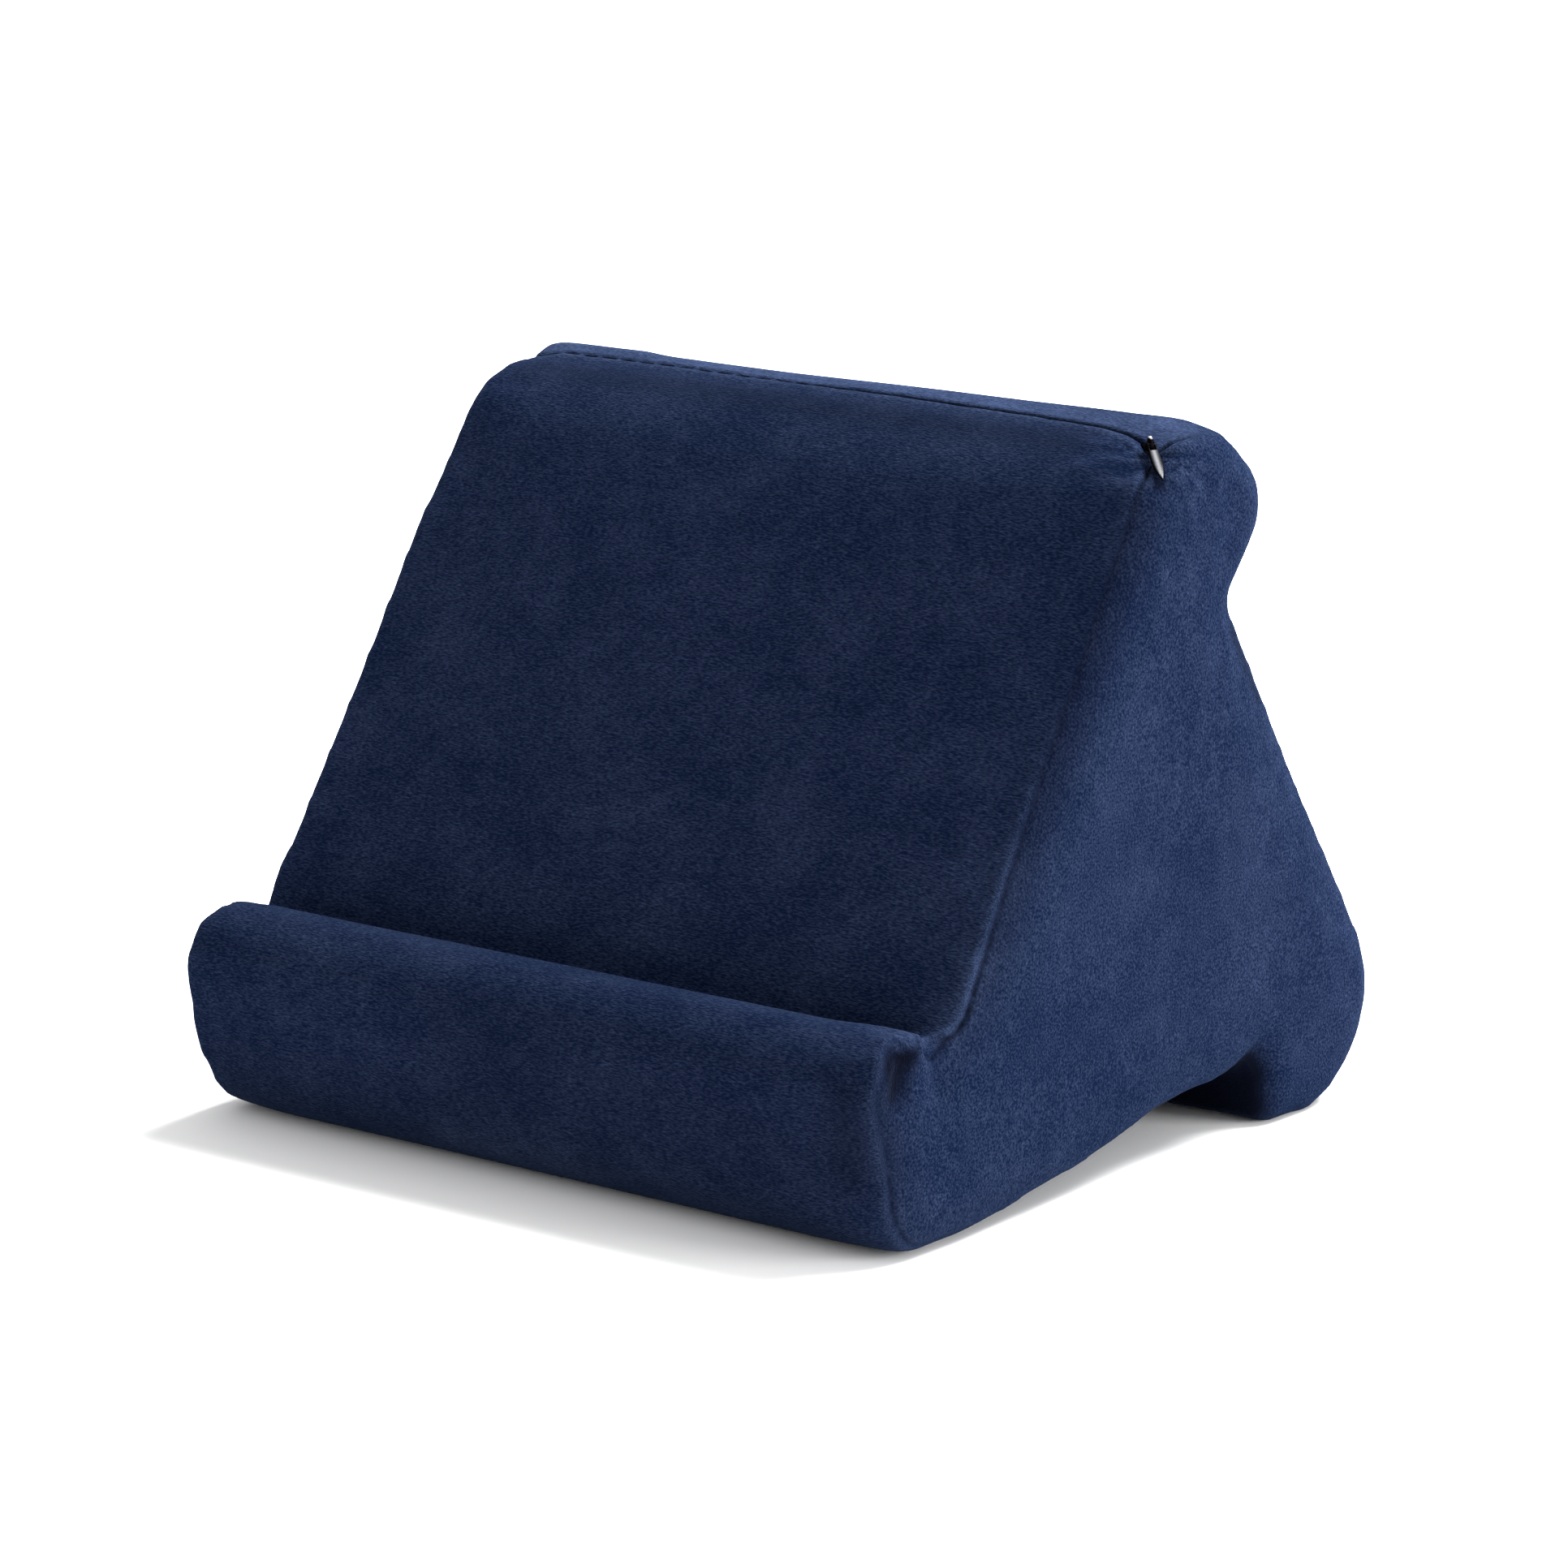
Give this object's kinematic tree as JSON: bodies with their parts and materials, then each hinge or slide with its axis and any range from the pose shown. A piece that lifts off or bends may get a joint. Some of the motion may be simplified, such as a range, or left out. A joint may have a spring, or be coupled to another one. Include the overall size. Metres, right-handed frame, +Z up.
{
  "type": "tablet pillow",
  "caption": "Triangular filled cushion in navy plush; every face ends in a rounded ledge that holds the edge of a leaning tablet or book.",
  "frame": {"origin": "on the surface that the cushion rests on, under the middle of its box", "axes": "+X along the width to the end with the zip slider, -Y towards the reader, +Z up"},
  "size_m": [0.29, 0.276, 0.2344],
  "materials": {
    "plush": "short-pile navy plush with a soft sheen",
    "zip_metal": "darkened steel, worn bright on the pull"
  },
  "bodies": {
    "root": {"cushion": "plush", "zip_slider": "zip_metal", "zip_pull": "zip_metal"}
  },
  "joints": []
}
